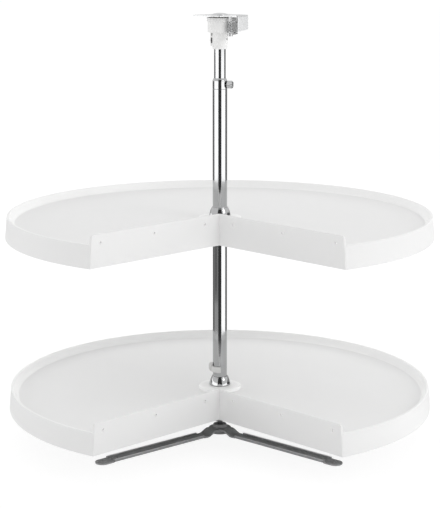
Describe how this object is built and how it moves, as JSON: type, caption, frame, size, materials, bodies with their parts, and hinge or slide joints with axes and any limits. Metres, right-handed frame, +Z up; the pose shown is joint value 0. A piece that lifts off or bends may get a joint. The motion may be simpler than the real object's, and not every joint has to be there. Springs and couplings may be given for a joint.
{
  "type": "corner carousel",
  "caption": "Corner cabinet carousel: pie-cut trays on a telescoping pole that turns between a floor bracket and a top plate with a spring detent.",
  "frame": {"origin": "on the floor, on the axis of the pole, under the pivot stud", "axes": "+Z up along the pole, the notch of the trays opens towards -Y, +X to the right seen from the notch"},
  "size_m": [0.7112, 0.6562, 0.7103],
  "materials": {
    "tray_white": "moulded, satin gloss",
    "hub_white": "moulded, satin",
    "clip_grey": "moulded, matt",
    "nylon": "moulded nylon",
    "dark_plastic": "moulded, matt",
    "chrome": "bright chrome plate",
    "zinc_steel": "zinc plated sheet",
    "bracket_steel": "dark plated pressed steel",
    "screw_steel": "plated",
    "spring_steel": "bright steel"
  },
  "bodies": {
    "base": {"base_bracket": "bracket_steel", "pivot_foot": "dark_plastic", "pivot_boss": "dark_plastic", "pivot_stud": "screw_steel"},
    "rotor": {"bearing_ball": "spring_steel", "pole_foot_plug": "nylon", "main_pole": "chrome", "lower_seat_ring": "zinc_steel", "lower_seat_pin": "spring_steel", "lower_tray": "tray_white", "lower_collar": "chrome", "lower_collar_screw": "screw_steel", "pole_clip": "clip_grey", "upper_seat_ring": "zinc_steel", "upper_seat_pin": "spring_steel", "upper_tray": "tray_white", "upper_collar": "chrome", "upper_collar_screw": "screw_steel", "lock_sleeve": "chrome"},
    "lock_thumb": {"thumb_screw": "chrome"},
    "inner_mast": {"inner_pole": "chrome", "inner_pole_foot": "nylon", "cam_hub": "hub_white", "hub_cross_pin": "screw_steel", "hub_clamp_screw": "screw_steel"},
    "top_bracket": {"top_plate": "zinc_steel", "top_pivot_pin": "zinc_steel", "pivot_spacer": "nylon", "detent_post": "zinc_steel"},
    "detent_lever": {"detent_arm": "zinc_steel", "roller_axle": "spring_steel", "detent_spring": "spring_steel"},
    "cam_roller": {"detent_roller": "nylon"}
  },
  "joints": [
    {"name": "carousel_spin", "type": "hinge", "parent": "base", "child": "rotor", "pos_m": [0, 0, 0], "axis": [0, 0, 1], "continuous": true},
    {"name": "thumb_screw_turn", "type": "hinge", "parent": "rotor", "child": "lock_thumb", "pos_m": [0, 0, 0.5943], "axis": [0.9397, -0.342, 0], "range_deg": [-360, 0]},
    {"name": "pole_telescope", "type": "slide", "parent": "rotor", "child": "inner_mast", "axis": [0, 0, 1], "range_m": [-0.04, 0.08]},
    {"name": "top_swivel", "type": "hinge", "parent": "inner_mast", "child": "top_bracket", "pos_m": [0, 0, 0.7], "axis": [0, 0, 1], "continuous": true},
    {"name": "detent_swing", "type": "hinge", "parent": "top_bracket", "child": "detent_lever", "pos_m": [0.01662, -0.02128, 0.677], "axis": [0, 0, -1], "range_deg": [0, 9], "stiffness_Nm_per_rad": 0.2, "springref_deg": -5.73},
    {"name": "roller_spin", "type": "hinge", "parent": "detent_lever", "child": "cam_roller", "pos_m": [0.02471, 0.00216, 0.6875], "axis": [0, 0, 1], "continuous": true}
  ],
  "couplings": [
    {"joint": "top_swivel", "follows": "carousel_spin", "ratio": -1},
    {"joint": "roller_spin", "follows": "carousel_spin", "ratio": -4.4444}
  ]
}
